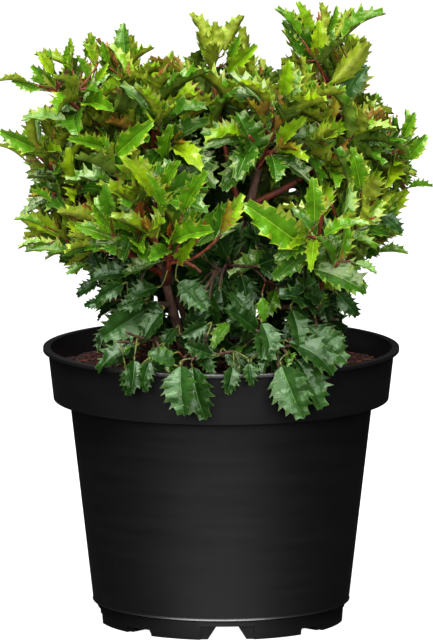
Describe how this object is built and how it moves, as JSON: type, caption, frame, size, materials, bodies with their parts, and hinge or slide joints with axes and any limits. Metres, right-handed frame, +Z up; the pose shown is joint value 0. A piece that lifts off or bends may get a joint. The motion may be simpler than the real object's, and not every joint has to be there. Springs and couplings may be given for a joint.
{
  "type": "potted young holly shrub",
  "caption": "Young evergreen holly shrub with spiny glossy leaves on several stems, in a round black plastic nursery pot filled with soil.",
  "frame": {"origin": "centre of the pot's flat underside, on the ground it stands on", "axes": "+Z up along the pot's axis, +Y away from the shrub's front, +X to the right seen from the front"},
  "size_m": [0.2676, 0.2692, 0.3999],
  "materials": {
    "pot_plastic": "satin black moulded plastic",
    "potting_soil": "crumbly dark brown bark and peat mix",
    "old_bark": "dull grey-brown bark",
    "young_bark": "smooth red-brown young bark",
    "young_leaf": "glossy bright green holly leaf",
    "old_leaf": "glossy dark green holly leaf"
  },
  "bodies": {
    "root": {"bough_back": "young_bark", "bough_back_left": "young_bark", "bough_back_low_left": "young_bark", "bough_back_low_right": "young_bark", "bough_back_right": "young_bark", "bough_back_top": "young_bark", "bough_front_left": "young_bark", "bough_front_low_right": "young_bark", "bough_heart": "young_bark", "bough_left": "young_bark", "bough_left_front": "young_bark", "bough_low_left": "young_bark", "bough_low_right": "young_bark", "bough_right": "young_bark", "bough_right_front": "young_bark", "bough_right_upper": "young_bark", "bough_skirt_front": "young_bark", "bough_skirt_front_left": "young_bark", "bough_skirt_front_right": "young_bark", "bough_skirt_left": "young_bark", "bough_skirt_right": "young_bark", "bough_top": "young_bark", "bough_top_left": "young_bark", "bough_upper_back_left": "young_bark", "foliage_back": "young_leaf", "foliage_back_left": "young_leaf", "foliage_back_low_left": "old_leaf", "foliage_back_low_right": "old_leaf", "foliage_back_right": "young_leaf", "foliage_back_top": "young_leaf", "foliage_front_left": "young_leaf", "foliage_front_low_right": "young_leaf", "foliage_front_right": "young_leaf", "foliage_front_upper": "young_leaf", "foliage_heart": "old_leaf", "foliage_left": "young_leaf", "foliage_left_front": "young_leaf", "foliage_low_left": "young_leaf", "foliage_low_right": "young_leaf", "foliage_right": "young_leaf", "foliage_right_front": "young_leaf", "foliage_right_upper": "young_leaf", "foliage_skirt_front": "old_leaf", "foliage_skirt_front_left": "old_leaf", "foliage_skirt_front_right": "old_leaf", "foliage_skirt_left": "old_leaf", "foliage_skirt_right": "old_leaf", "foliage_top": "young_leaf", "foliage_top_left": "young_leaf", "foliage_top_right": "young_leaf", "foliage_upper_back_left": "young_leaf", "foliage_upper_left": "young_leaf", "foliage_upper_right": "young_leaf", "pot": "pot_plastic", "soil": "potting_soil", "stem_back_left": "old_bark", "stem_back_right": "old_bark", "stem_centre": "old_bark", "stem_front_left": "old_bark", "stem_right": "old_bark"}
  },
  "joints": []
}
